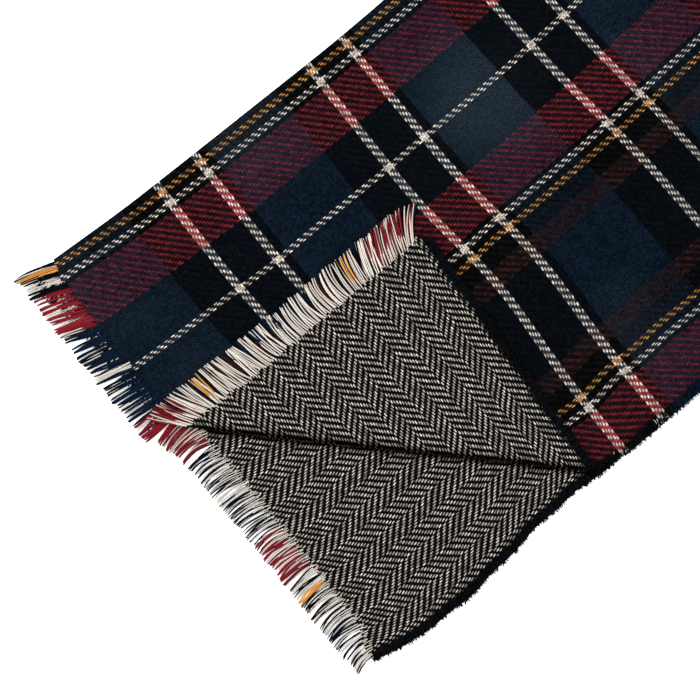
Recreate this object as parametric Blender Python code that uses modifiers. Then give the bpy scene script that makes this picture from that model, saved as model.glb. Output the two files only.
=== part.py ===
"""A tartan blanket scarf, folded in half along its length and laid flat, with one near corner turned back.

Metres. +X runs along the scarf from its near end to its far end, +Y towards the lengthwise fold and +Z up.
The origin is at the middle of the footprint, on the surface that the scarf lies on.

Until lay() puts it in that frame, a point of the cloth is given by how far it is from the near fringe's tips
(along) and how far it is from the lengthwise fold (depth).
"""

import math

import bmesh
import bpy
import numpy as np

# The cloth, as it is cut.
CLOTH_LENGTH = 1.85  # hem to hem
TOP_WIDTH = 0.359  # lengthwise fold to the upper layer's open edge
BOTTOM_WIDTH = 0.3595  # lengthwise fold to the lower layer's open edge
WALL = 0.0024
FRINGE = 0.0253  # hem to fringe tips

# Clearances.
LAYER_GAP = 0.0003  # between two layers that lie on each other
SEAM_GAP = 0.0003  # between two stretches of the same cloth

# The lengthwise fold. The radius is that of the wall's middle.
FOLD_RADIUS = 0.0024
FOLD_STEPS = 8  # facets in the half turn
FOLD_SEAM = 0.006  # depth at which the lower layer starts, on the flat beneath the fold
FOLD_SETTLE = 0.026  # depth at which the upper layer has come down onto the lower one

# Where the upper layer is creased and turned back, as (along, depth).
CREASE_AT_HEM = (0.0321, 0.1512)
CREASE_AT_EDGE = (0.2431, 0.3565)
TURNED_TIP = (0.2524, 0.1455)
ROLL_RADIUS_ENDS = 0.0019
ROLL_RADIUS_MIDDLE = 0.0027
ROLL_STEPS = 8  # facets in the half turn
ROLL_SETTLE = 0.030  # from the crease to where the turned corner lies on the upper layer
ROLL_SEAM = 0.0052  # from the crease to where the upper layer ends, under the turned corner
TIP_BLUNTING = 0.002  # the corner's point is that much short
HEM_PULL = 0.0068  # how far the crease draws the near hem in, beside it

# How the lower layer has slipped towards the far end, away from the fold.
SLIP = 0.0197
SLIP_REACH = 0.14

# The lower layer's width spreads by this share towards its near end.
SPREAD = 0.034
SPREAD_FULL_BEFORE = 0.085
SPREAD_GONE_AFTER = 0.225

# The scarf's gentle bend as it lies: how far its fold runs off to the side (towards +Y).
LIE = {
    "along": (0.00, 0.20, 0.30, 0.36, 0.43, 0.50, 0.70, 1.00, 1.35, 1.92),
    "sideways": (0.0, 0.0, 0.0010, 0.0038, 0.0093, 0.0150, 0.0280, 0.0400, 0.0420, 0.0360),
}
NEAR_SHIFT = 0.003  # the near end lies a little further to the same side
NEAR_SHIFT_REACH = 0.11
COLUMN_SPACING = 0.04  # between the sections that follow the bend

# The footprint's middle, which becomes the origin.
MIDDLE_ALONG = 0.9578
MIDDLE_DEPTH = 0.1646

# The fringes: locks of warp ends, fused at the root into a narrow strip beside the hem.
LOCK_PITCH = 0.0059
LOCK_WIDTH = 0.0043
LOCK_TIP_HEIGHT = 0.5  # of the root's
LOCK_SECTIONS = ((0.5, 0.9, 0.8), (1.0, 0.62, LOCK_TIP_HEIGHT))  # share of the length, width and height
LOCK_WANDER = 2.5  # degrees, largest difference from the fringe's own lean
STRIP_DEPTH = 0.003
STRIP_HEIGHT = 0.0018
FLOOR_CLEARANCE = 0.0003
FRINGE_START = 0.007  # depth, just past the fold's bend
TURNED_FRINGE_START = 0.008  # reach, just past the roll
CLEAR_OF_LOWER_FRINGE = 0.016  # slip at which the upper fringe's tips pass beyond the lower fringe's
FRINGE_SEED = 7

# How far the locks' tips lean, in degrees, towards the end of the hem that has share 1: the open edge or, on
# the turned corner, its tip.
LEAN = {
    "fringe_near_top": {
        "share": (0.0, 0.12, 0.45, 0.6, 0.85, 1.0),
        "lean": (-30.0, -19.0, -17.0, -13.0, -4.5, 5.0),
    },
    "fringe_near_bottom": {
        "share": (0.0, 0.4, 0.6, 0.8, 0.93, 1.0),
        "lean": (0.0, 11.0, -8.0, 6.0, 8.0, 5.0),
    },
    "fringe_turned_corner": {
        "share": (0.0, 0.1, 0.3, 0.45, 0.6, 0.75, 0.9, 1.0),
        "lean": (-42.0, -20.0, -19.0, -5.0, -3.0, 7.0, 24.0, 38.0),
    },
    "fringe_far_top": {"share": (0.0, 1.0), "lean": (-8.0, 6.0)},
    "fringe_far_bottom": {"share": (0.0, 1.0), "lean": (-6.0, 8.0)},
}

COLLECTION = "tartan_blanket_scarf"
NAVY = (0.014, 0.028, 0.062)
INK = (0.012, 0.012, 0.016)
CREAM = (0.72, 0.66, 0.55)

BOTTOM_MIDDLE = WALL / 2
TOP_MIDDLE = BOTTOM_MIDDLE + WALL + LAYER_GAP
TURNED_MIDDLE = TOP_MIDDLE + WALL + LAYER_GAP


def clear_scene():
    for obj in list(bpy.data.objects):
        bpy.data.objects.remove(obj, do_unlink=True)


def ease(share):
    """0 to 1 with no slope at either end, for shares of 0 to 1."""
    share = np.clip(share, 0.0, 1.0)
    return share * share * (3.0 - 2.0 * share)


def lie_and_slope(along):
    """The bend's sideways run and its slope: a cubic through LIE's rows that keeps a smooth slope at each."""
    stations = np.array(LIE["along"])
    values = np.array(LIE["sideways"])
    slopes = np.gradient(values, stations)
    row = np.clip(np.searchsorted(stations, along) - 1, 0, len(stations) - 2)
    span = stations[row + 1] - stations[row]
    t = np.clip((along - stations[row]) / span, 0.0, 1.0)
    sideways = (
        (2 * t**3 - 3 * t**2 + 1) * values[row]
        + (t**3 - 2 * t**2 + t) * span * slopes[row]
        + (3 * t**2 - 2 * t**3) * values[row + 1]
        + (t**3 - t**2) * span * slopes[row + 1]
    )
    slope = (
        (6 * t**2 - 6 * t) * (values[row] - values[row + 1]) / span
        + (3 * t**2 - 4 * t + 1) * slopes[row]
        + (3 * t**2 - 2 * t) * slopes[row + 1]
    )
    return sideways, slope


def lay(along, depth, height):
    """World points. A line across the cloth stays square to the bend."""
    along, depth, height = np.broadcast_arrays(along, depth, height)
    sideways, slope = lie_and_slope(along)
    sideways = sideways + NEAR_SHIFT * ease(1.0 - along / NEAR_SHIFT_REACH)
    return np.stack(
        [along + slope * depth - MIDDLE_ALONG, sideways - depth + MIDDLE_DEPTH, height],
        axis=-1,
    )


def slip(depth):
    return SLIP * (1.0 - np.exp(-np.asarray(depth) / SLIP_REACH))


def lay_lower(along, depth, height):
    """World points of the lower layer, which slips along and spreads near its end."""
    along = along + slip(depth)
    spread = ease((SPREAD_GONE_AFTER - along) / (SPREAD_GONE_AFTER - SPREAD_FULL_BEFORE))
    return lay(along, depth * (1.0 + SPREAD * spread), height)


def near_hem(depth):
    """Where the upper layer's near hem lies. Beside the crease it is drawn in."""
    return FRINGE + HEM_PULL * np.minimum(depth / CREASE_AT_HEM[1], 1.0) ** 4


class Crease:
    """The line that the corner is turned back along.

    A point near it has run (along the line, from the hem) and reach (square to it, towards the cloth that
    stays down, over which the turned corner lies).
    """

    def __init__(self):
        self.start = np.array(CREASE_AT_HEM)
        line = np.array(CREASE_AT_EDGE) - self.start
        self.length = float(np.hypot(*line))
        self.line = line / self.length
        self.square = np.array([self.line[1], -self.line[0]])
        tip = np.array(TURNED_TIP) - self.start
        self.tip_run = float(tip @ self.line)
        self.tip_reach = float(tip @ self.square)
        self.seam_hem_depth = self.start[1] - ROLL_SEAM * (self.line[1] / self.square[0] + self.line[0])

    def plan(self, run, reach):
        """(along, depth) of a run and a reach."""
        return (
            self.start[0] + run * self.line[0] + reach * self.square[0],
            self.start[1] + run * self.line[1] + reach * self.square[1],
        )

    def radius(self, run):
        """Of the roll's middle surface: fuller halfway between the hem and the open edge."""
        share = np.clip(run / self.length, 0.0, 1.0)
        return ROLL_RADIUS_ENDS + (ROLL_RADIUS_MIDDLE - ROLL_RADIUS_ENDS) * np.sin(math.pi * share)

    def flat_side_runs(self, reach):
        """The first and last run of the cloth that stays down, at a reach from the crease."""
        first = -reach * self.line[1] / -self.square[1]
        last = self.length + reach * self.line[0] / self.square[0]
        return first, last

    def turned_side_runs(self, reach):
        """The first and last run of the turned corner, at a reach from the crease."""
        first = reach * self.tip_run / self.tip_reach
        last = self.length - reach * (self.length - self.tip_run) / self.tip_reach
        return first, last

    def turned_height(self, run, reach):
        """Of the turned corner's middle surface: from the top of the roll down onto the upper layer."""
        radius = self.radius(run)
        start = radius + WALL / 2
        drop = ease((reach - start) / (ROLL_SETTLE - start))
        return TOP_MIDDLE + 2 * radius + (TURNED_MIDDLE - TOP_MIDDLE - 2 * radius) * drop


CREASE = Crease()


def material(name, color, roughness):
    made = bpy.data.materials.new(name)
    made.use_nodes = True
    shader = made.node_tree.nodes["Principled BSDF"]
    shader.inputs["Base Color"].default_value = (*color, 1.0)
    shader.inputs["Roughness"].default_value = roughness
    shader.inputs["Metallic"].default_value = 0.0
    return made


def add_object(name, mesh, color, roughness):
    mesh.materials.append(material(name, color, roughness))
    obj = bpy.data.objects.new(name, mesh)
    bpy.data.collections[COLLECTION].objects.link(obj)
    return obj


def cloth_wall(name, points, color):
    """A wall whose middle surface passes through rows and columns of points, each row running in +X."""
    rows, columns = points.shape[:2]
    index = np.arange(rows * columns).reshape(rows, columns)
    faces = np.stack([index[:-1, :-1], index[1:, :-1], index[1:, 1:], index[:-1, 1:]], axis=-1)
    mesh = bpy.data.meshes.new(name)
    mesh.from_pydata(points.reshape(-1, 3).tolist(), [], faces.reshape(-1, 4).tolist())
    mesh.shade_smooth()
    obj = add_object(name, mesh, color, 0.9)
    wall = obj.modifiers.new("wall", "SOLIDIFY")
    wall.thickness = WALL
    wall.offset = 0.0
    wall.use_even_offset = True
    return obj


def across(start, stop, largest_step):
    """Depths from start to stop, evenly spaced and no more than a step apart."""
    return np.linspace(start, stop, 1 + math.ceil((stop - start) / largest_step))


def fold_turn():
    """Depths and heights round the lengthwise fold, from the seam on the flat beneath it to its top."""
    turn = np.linspace(-math.pi / 2, math.pi / 2, 1 + FOLD_STEPS)
    depth = WALL / 2 + FOLD_RADIUS * (1.0 - np.cos(turn))
    height = BOTTOM_MIDDLE + FOLD_RADIUS * (1.0 + np.sin(turn))
    return np.append(FOLD_SEAM - SEAM_GAP, depth), np.append(BOTTOM_MIDDLE, height)


def columns_between(first, last):
    """Shares of 0 to 1, about a column spacing apart."""
    return np.linspace(0.0, 1.0, 1 + round((last - first) / COLUMN_SPACING))


def build_bottom_layer():
    depth = across(FOLD_SEAM, BOTTOM_WIDTH, 0.03)[:, None]
    along = FRINGE + CLOTH_LENGTH * columns_between(FRINGE, FRINGE + CLOTH_LENGTH)
    return cloth_wall("bottom_layer", lay_lower(along, depth, BOTTOM_MIDDLE), INK)


def build_top_layer():
    fold_depth, fold_height = fold_turn()
    settling = across(fold_depth[-1], FOLD_SETTLE, 0.005)[1:]
    before_crease = across(FOLD_SETTLE, CREASE.seam_hem_depth, 0.03)[1:]
    beyond = across(CREASE.seam_hem_depth, TOP_WIDTH, 0.03)[1:]
    depth = np.concatenate([fold_depth, settling, before_crease, beyond])
    settled = ease((depth - fold_depth[-1]) / (FOLD_SETTLE - fold_depth[-1]))
    height = fold_height[-1] + (TOP_MIDDLE - fold_height[-1]) * settled
    height[: len(fold_height)] = fold_height
    seam = CREASE.plan(0.0, ROLL_SEAM)
    along_seam = seam[0] + (depth - seam[1]) * CREASE.line[0] / CREASE.line[1]
    first = np.maximum(near_hem(depth), along_seam)[:, None]
    last = FRINGE + CLOTH_LENGTH
    along = first + (last - first) * columns_between(FRINGE, last)
    return cloth_wall("top_layer", lay(along, depth[:, None], height[:, None]), NAVY)


def build_turned_corner():
    columns = np.linspace(0.0, 1.0, 15)
    run = CREASE.length * columns
    radius = CREASE.radius(run)
    axis_reach = radius + WALL / 2
    rows = []

    def add_row(first_last, reach, height):
        first, last = first_last
        row_run = first + (last - first) * columns
        rows.append(lay(*CREASE.plan(row_run, reach), height))

    add_row(CREASE.flat_side_runs(ROLL_SEAM - SEAM_GAP), ROLL_SEAM - SEAM_GAP, TOP_MIDDLE)
    for turn in np.linspace(-math.pi / 2, math.pi / 2, 1 + ROLL_STEPS):
        turned = (turn + math.pi / 2) / math.pi
        down = np.array(CREASE.flat_side_runs(ROLL_RADIUS_ENDS + WALL / 2))
        over = np.array(CREASE.turned_side_runs(ROLL_RADIUS_ENDS + WALL / 2))
        ends = down + (over - down) * turned
        reach = axis_reach - radius * math.cos(turn)
        add_row(ends, reach, TOP_MIDDLE + radius * (1.0 + math.sin(turn)))
    settling = np.linspace(axis_reach.max(), ROLL_SETTLE, 6)[1:]
    lying = across(ROLL_SETTLE, CREASE.tip_reach - TIP_BLUNTING, 0.033)[1:]
    for reach in np.concatenate([settling, lying]):
        ends = np.array(CREASE.turned_side_runs(reach))
        row_run = ends[0] + (ends[1] - ends[0]) * columns
        add_row(ends, reach, CREASE.turned_height(row_run, reach))
    return cloth_wall("turned_corner", np.array(rows), CREAM)


def fringe(name, hem, side, tip_drop, seed):
    """A row of tapered locks whose roots are one narrow strip beside a hem.

    hem gives the points at an array of shares of the hem. The locks point to its left (side 1) or right
    (side -1), seen from above, and lean as LEAN says. tip_drop gives how far each tip lies below its root.
    """
    wander = np.random.default_rng(seed)
    span = float(np.linalg.norm(hem(np.array([1.0])) - hem(np.array([0.0]))))
    count = round(span / LOCK_PITCH)
    half = LOCK_WIDTH / span / 2
    middles = (np.arange(count) + 0.5) / count
    shares = np.concatenate([[0.0], np.stack([middles - half, middles + half], axis=1).ravel(), [1.0]])
    onward, away = hem_directions(hem, shares, side)
    points = hem(shares)
    inner, outer = points + away * SEAM_GAP, points + away * (SEAM_GAP + STRIP_DEPTH)
    rise = np.array([0.0, 0.0, STRIP_HEIGHT / 2])
    rings = np.stack([inner - rise, inner + rise, outer + rise, outer - rise], axis=1)

    shape = bmesh.new()
    corners = [[shape.verts.new(corner) for corner in ring] for ring in rings]
    for before, after in zip(corners, corners[1:]):
        for edge in range(4):
            following = (edge + 1) % 4
            shape.faces.new((before[edge], before[following], after[following], after[edge]))
    shape.faces.new(corners[0][::-1])
    shape.faces.new(corners[-1])
    bmesh.ops.recalc_face_normals(shape, faces=shape.faces)
    shape.faces.ensure_lookup_table()
    roots = [shape.faces[4 * (1 + 2 * lock) + 2] for lock in range(count)]

    onward, away = hem_directions(hem, middles, side)
    lean = np.radians(np.interp(middles, LEAN[name]["share"], LEAN[name]["lean"]))
    lean += np.radians(wander.uniform(-LOCK_WANDER, LOCK_WANDER, count))
    length = (FRINGE - SEAM_GAP - STRIP_DEPTH) * wander.uniform(0.86, 1.0, count)
    drops = tip_drop(middles)
    for lock, root in enumerate(roots):
        start = np.array([corner.co[:] for corner in root.verts])
        centre = start.mean(axis=0)
        face = root
        for part, width, height in LOCK_SECTIONS:
            turn = lean[lock] * part
            direction = away[lock] * math.cos(turn) + onward[lock] * math.sin(turn)
            beside = onward[lock] * math.cos(turn) - away[lock] * math.sin(turn)
            face = bmesh.ops.extrude_discrete_faces(shape, faces=[face])["faces"][0]
            moved = centre + direction * length[lock] * part
            moved[2] -= drops[lock] * part**1.5
            for corner, offset in zip(face.verts, start - centre):
                corner.co = moved + beside * (offset @ onward[lock]) * width
                corner.co.z += offset[2] * height
    mesh = bpy.data.meshes.new(name)
    shape.to_mesh(mesh)
    shape.free()
    return add_object(name, mesh, CREAM, 0.95)


def hem_directions(hem, shares, side):
    """Flat unit directions at shares of a hem: onward along it, and away from the cloth, square to it."""
    step = hem(np.minimum(shares + 0.01, 1.0)) - hem(np.maximum(shares - 0.01, 0.0))
    onward = step * (1.0, 1.0, 0.0)
    onward /= np.linalg.norm(onward, axis=1, keepdims=True)
    away = np.stack([-onward[:, 1], onward[:, 0], 0.0 * onward[:, 2]], axis=1) * side
    return onward, away


def spread_shares(first, last):
    """A function from shares of 0 to 1 to values between first and last."""
    return lambda shares: first + (last - first) * shares


def build_fringes():
    tip_half = STRIP_HEIGHT * LOCK_TIP_HEIGHT / 2
    bottom_root = FLOOR_CLEARANCE + STRIP_HEIGHT / 2
    bottom_tip = FLOOR_CLEARANCE + tip_half
    on_bottom_fringe = FLOOR_CLEARANCE + STRIP_HEIGHT + LAYER_GAP + tip_half
    far = FRINGE + CLOTH_LENGTH
    near_top = spread_shares(FRINGE_START, CREASE.seam_hem_depth - SEAM_GAP)
    far_top = spread_shares(FRINGE_START, TOP_WIDTH - SEAM_GAP)
    bottom = spread_shares(FRINGE_START, BOTTOM_WIDTH - SEAM_GAP)
    turned = spread_shares(TURNED_FRINGE_START, CREASE.tip_reach - TIP_BLUNTING - SEAM_GAP)

    def turned_hem(shares):
        reach = turned(shares)
        run = CREASE.turned_side_runs(reach)[0] - SEAM_GAP
        return lay(*CREASE.plan(run, reach), CREASE.turned_height(run, reach))

    def near_top_drop(shares):
        """Tips lie on the lower fringe near the fold, and just above the surface where it has slipped off."""
        clear = ease(slip(near_top(shares)) / CLEAR_OF_LOWER_FRINGE)
        return TOP_MIDDLE - on_bottom_fringe + (on_bottom_fringe - bottom_tip) * clear

    fringe(
        "fringe_near_top",
        lambda shares: lay(near_hem(near_top(shares)), near_top(shares), TOP_MIDDLE),
        -1,
        near_top_drop,
        FRINGE_SEED,
    )
    fringe(
        "fringe_near_bottom",
        lambda shares: lay_lower(FRINGE, bottom(shares), bottom_root),
        -1,
        lambda shares: np.full(len(shares), bottom_root - bottom_tip),
        FRINGE_SEED + 1,
    )
    fringe(
        "fringe_far_top",
        lambda shares: lay(far, far_top(shares), TOP_MIDDLE),
        1,
        lambda shares: np.full(len(shares), TOP_MIDDLE - WALL - LAYER_GAP - tip_half),
        FRINGE_SEED + 2,
    )
    fringe(
        "fringe_far_bottom",
        lambda shares: lay_lower(far, bottom(shares), bottom_root),
        1,
        lambda shares: np.full(len(shares), bottom_root - bottom_tip),
        FRINGE_SEED + 3,
    )
    fringe(
        "fringe_turned_corner",
        turned_hem,
        1,
        lambda shares: turned_hem(shares)[:, 2] - TURNED_MIDDLE + LAYER_GAP,
        FRINGE_SEED + 4,
    )


def main():
    clear_scene()
    made = bpy.data.collections.new(COLLECTION)
    bpy.context.scene.collection.children.link(made)
    build_bottom_layer()
    build_top_layer()
    build_turned_corner()
    build_fringes()


main()
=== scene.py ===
"""The look of a tartan blanket scarf that lies folded in half with one near corner turned back.

The frame is in metres: +X along the scarf, +Y towards its lengthwise fold, +Z up, the surface at z = 0. A
point of the cloth is given by how far it is from the near fringe's tips (along) and from the lengthwise fold
(depth), and lay() puts it in the frame. The weave is drawn in threads: picks are counted along the scarf and
ends across it.
"""

import math

import bpy
import numpy as np
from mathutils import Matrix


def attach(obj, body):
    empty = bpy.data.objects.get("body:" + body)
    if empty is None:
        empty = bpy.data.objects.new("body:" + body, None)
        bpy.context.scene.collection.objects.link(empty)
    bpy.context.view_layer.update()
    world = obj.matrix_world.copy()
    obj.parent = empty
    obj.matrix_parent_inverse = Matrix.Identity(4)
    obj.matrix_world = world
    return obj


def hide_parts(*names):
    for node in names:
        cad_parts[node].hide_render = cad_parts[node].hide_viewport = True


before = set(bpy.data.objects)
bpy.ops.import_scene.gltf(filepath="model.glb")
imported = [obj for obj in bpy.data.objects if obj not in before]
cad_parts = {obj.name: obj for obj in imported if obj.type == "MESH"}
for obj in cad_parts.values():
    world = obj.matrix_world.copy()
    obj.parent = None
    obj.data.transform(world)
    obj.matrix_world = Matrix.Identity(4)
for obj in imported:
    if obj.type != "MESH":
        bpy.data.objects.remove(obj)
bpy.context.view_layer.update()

bl_info = {
    "name": "Tartan blanket scarf",
    "version": (1, 0, 0),
    "blender": (4, 5, 0),
    "location": "3D View > Sidebar > Scarf",
    "description": "Builds the cloth, fringes and brushed edges of a folded tartan scarf",
    "category": "Add Mesh",
}

# The cloth as it lies, the same as in the solids.
CLOTH_LENGTH = 1.85
TOP_WIDTH = 0.359
BOTTOM_WIDTH = 0.3595
WALL = 0.0024
FRINGE = 0.0253
LAYER_GAP = 0.0003
SEAM_GAP = 0.0003
FOLD_RADIUS = 0.0024
FOLD_SEAM = 0.006
FOLD_SETTLE = 0.026
CREASE_AT_HEM = (0.0321, 0.1512)
CREASE_AT_EDGE = (0.2431, 0.3565)
CREASE_SHADE_DEPTH = 0.0062  # how far from the crease its painted shade reaches
TURNED_TIP = (0.2524, 0.1455)
ROLL_RADIUS_ENDS = 0.0019
ROLL_RADIUS_MIDDLE = 0.0027
ROLL_SETTLE = 0.030
ROLL_SEAM = 0.0052
TIP_BLUNTING = 0.0045
HEM_PULL = 0.0068
FOLD_PULL = 0.0070
CORNER_RUN_OUT = 0.0080  # of the lower layer's hem at its open corner, which starts at this depth
CORNER_STARTS = 0.328
CORNER_ROUNDING = 0.0045
CORNER_REACH = 0.024
SLIP = 0.0197
SLIP_REACH = 0.14
SPREAD = 0.034
SPREAD_FULL_BEFORE = 0.085
SPREAD_GONE_AFTER = 0.225
LIE = {
    "along": (0.00, 0.20, 0.30, 0.36, 0.43, 0.50, 0.70, 1.00, 1.35, 1.92),
    "sideways": (0.0, 0.0, 0.0010, 0.0038, 0.0093, 0.0150, 0.0280, 0.0400, 0.0420, 0.0360),
}
NEAR_SHIFT = 0.003
NEAR_SHIFT_REACH = 0.11
MIDDLE_ALONG = 0.9578
MIDDLE_DEPTH = 0.1646
BOTTOM_MIDDLE = WALL / 2
TOP_MIDDLE = BOTTOM_MIDDLE + WALL + LAYER_GAP
TURNED_MIDDLE = TOP_MIDDLE + WALL + LAYER_GAP

# Each long layer is made in four lengths that meet edge to edge, at these distances along.
SECTION_ENDS = (0.52, 0.975, 1.43)
LAST_ALONG = FRINGE + CLOTH_LENGTH
NEAR_STEP = 0.004  # between the columns of points, in the first length
FAR_STEP = 0.0065
SETTLING_STEP = 0.002  # between the rows of points, where the cloth comes down from a bend
TURNED_STEP = 0.0022  # between the rows of points of the turned corner, where it lies flat

# How far apart the picks lie along the scarf: they are beaten closer away from the near end.
PICK_PITCH = {
    "along": (0.0, 0.025, 0.078, 0.135, 0.207, 0.274, 0.339, 0.428, 1.92),
    "pitch": (0.00159, 0.00159, 0.001576, 0.001561, 0.001519, 0.001426, 0.00139, 0.001412, 0.001412),
}
FACE_END_PITCH = 0.001533
REVERSE_PITCH = 0.0015
FOLD_TO_PIVOT = 61  # ends from the lengthwise fold to the middle of the sett's plain cream line

# The sett, as (first end or pick, yarn). The warp's runs from one pivot to the next and is then mirrored.
WARP_SETT = (
    (0, "cream"), (2, "navy"), (25, "red"), (47, "black"), (49, "cream"),
    (52, "black"), (55, "gold"), (58, "black"), (66, "rust"), (75, "navy"),
)
WARP_HALF_REPEAT = 96
WEFT_SETT = ((0, "navy"), (42, "black"), (60, "cream"), (64, "black"), (82, "cream"), (86, "black"))
WEFT_REPEAT = 90
HERRINGBONE_COLUMN = 8  # ends

# Where the stripes wander off their even spacing, in metres.
WARP_WANDER = {
    "along": (0.035, 0.107, 0.15, 0.20, 0.26, 0.285, 0.36),
    "fold": (-0.0030, -0.0002, -0.0002, -0.0005, -0.0013, -0.0013, -0.0013),
    "upper": (0.0021, 0.0010, 0.0026, 0.0010, 0.0, -0.0009, -0.0004),
    "lower": (0.0, 0.0, 0.0, 0.004, 0.005, 0.0026, 0.0014),
}
WARP_WANDER_DEPTHS = (0.093, 0.236)  # the upper wander is full at the first, the lower one at the second
WEFT_BOW = {
    "along": (0.17, 0.24, 0.26, 0.30, 0.38, 0.55),
    "bow": (0.0, 0.0076, 0.0078, 0.006, 0.0033, 0.0),
}
WEFT_BOW_DEPTHS = (0.107, 0.214, 0.30)  # where it starts, where it is full and where half of it is left
LOWER_WANDER = (0.12, 0.04, 0.003)  # middle and reach along, and how far the columns are drawn to the fold

TURNED_COLUMN_ALONG = 0.1695  # a herringbone column starts here on the turned corner
TURNED_COLUMN_WIDTH = 0.0119  # eight ends
TURNED_END_PITCH = 0.001485
TURNED_WIDENING = (0.022, 0.145, 0.06)  # share, the depth where it is full and how far on it is gone

# Grey light of a yarn: cream and gold are above the first, red above the next and rust above the next. A weft
# below the last is black.
PALE_YARN = 0.15
RUST_YARN = 0.02
NAVY_YARN = 0.008
BLACK_YARN = 0.004

NAP_SHEEN_MIDDLE = (-0.610, 0.072, 0.004)  # where the nap's pale fuzz and painted sheen are strongest

BAND = 0.0075  # width of the brushed dark band along each open edge

# Soft ridges in the cloth: along and depth of the middle, way it runs in degrees from +along to +depth,
# length, width and height.
RIDGES = (
    (0.30, 0.235, 62, 0.055, 0.014, 0.0011),
    (0.36, 0.30, 80, 0.06, 0.018, 0.0008),
    (0.14, 0.07, 20, 0.10, 0.020, 0.0007),
    (0.47, 0.12, -25, 0.09, 0.022, 0.0009),
    (0.18, 0.31, 35, 0.07, 0.016, 0.0009),
    (0.66, 0.25, 60, 0.11, 0.020, 0.0019),
    (0.80, 0.09, 15, 0.15, 0.019, 0.0016),
    (0.98, 0.28, -30, 0.12, 0.024, 0.0022),
    (1.16, 0.15, 75, 0.10, 0.018, 0.0017),
    (1.33, 0.06, -12, 0.16, 0.021, 0.0014),
    (1.46, 0.27, 40, 0.12, 0.022, 0.0021),
    (1.68, 0.17, -55, 0.11, 0.020, 0.0018),
)

# How the fringes' yarns lean and curl, in degrees, against their share of the hem.
LEAN = {
    "fringe_near_top": {
        "share": (0.0, 0.12, 0.45, 0.6, 0.85, 1.0),
        "lean": (-20.0, -18.0, -18.0, -13.0, -4.5, 5.0),
        "curl": (12.0, 8.0, 4.0, 3.0, 2.0, 0.0),
    },
    "fringe_near_bottom": {
        "share": (0.0, 0.33, 0.38, 0.6, 0.8, 0.93, 1.0),
        "lean": (0.0, 14.0, 1.0, -6.0, 2.0, 0.0, 12.0),
        "curl": (0.0, 16.0, 16.0, 14.0, 12.0, 18.0, 22.0),
    },
    "fringe_turned_corner": {
        "share": (0.0, 0.03, 0.1, 0.14, 0.3, 0.45, 0.6, 0.7, 0.75, 0.84, 0.95, 1.0),
        "lean": (-45.0, -32.0, -28.0, -12.0, -17.0, -5.0, -3.0, 2.0, 12.0, 22.0, 25.0, 47.0),
        "curl": (5.0, 5.0, 5.0, 0.0, 5.0, 10.0, 15.0, 20.0, 8.0, 6.0, 8.0, 10.0),
    },
    "fringe_far_top": {"share": (0.0, 1.0), "lean": (-8.0, 6.0), "curl": (5.0, 5.0)},
    "fringe_far_bottom": {"share": (0.0, 1.0), "lean": (-6.0, 8.0), "curl": (8.0, 8.0)},
}
YARN_SECTIONS = 6
YARN_INSET = 0.0030  # how far onto the cloth the uppermost yarns reach
ROOT_INSIDE = 0.0012  # how far inside the cloth's end the yarns' roots lie

# The face's and the reverse's yarns, first where the tartan is down and then where it is up: radius as a
# share of the usual one, and the least and greatest lift of the tips.
FACE_YARN_SHARE = (0.9, 1.22)
FACE_LIFTS = ((-0.0007, 0.0022), (-0.0002, 0.0006))
LINING_LIFTS = ((-0.0001, 0.0008), (-0.0010, 0.0017))
TURNED_LINING_SHARE = 1.4
LINING_KEPT = 0.78  # share of the reverse's yarns that are there, where the tartan is down
LINING_KEPT_UP = (0.36, 0.4, 0.3)  # up to this share of the hem, the first is there, and beyond it the second

LOCK_COUNTS = (2, 3, 3, 4, 5)  # yarns in a lock, as often as they are listed
LOCK_LEAN = 4.0  # degrees, at most, by which a whole lock leans more or less
YARN_LEAN = 2.0  # degrees, as a spread, by which a yarn does
YARN_CURL = 3.0  # degrees, as a spread, by which it curls more or less
GATHERING = (0.15, 0.55, 0.62)  # how much of the way to its gathering point a yarn's tip goes
ROOT_JITTER = 0.35  # of the space between two yarns
LONGEST_YARN = 1.1  # fringes
YARN_WAVE = 0.0008  # sideways
YARN_RISE = 0.0006  # halfway along
YARN_TAPER = (0.85, 1.0, 1.0, 1.0, 1.0, 0.95, 0.6)  # a yarn's radius at each section
ABOVE_FLOOR = 0.0003

TUFT_HEIGHT = 0.0007  # of the brushed tufts' roots above the middle of the cloth
TUFT_RADIUS = (0.0003, 0.0007)
PALE_TUFT_RADIUS = 0.00022
TUFT_FLATNESS = 0.7  # height over width
TUFT_TURN = 0.38  # radians, as a spread, off the square to the edge
SHORTEST_TUFT = 0.0010

VIEW_MIDDLE = (-0.7994, -0.0144)
VIEW_TURN = -38.2  # degrees
SENSOR = 36.0  # millimetres
FLOOR_HALF = 4.0
SKY_STRENGTH = 1.15
KEY_LIGHT = {"energy": 40.0, "size": 1.2}
KEY_LIGHT_FROM = (-0.35, 1.1, 1.5)  # the middle of the view


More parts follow.
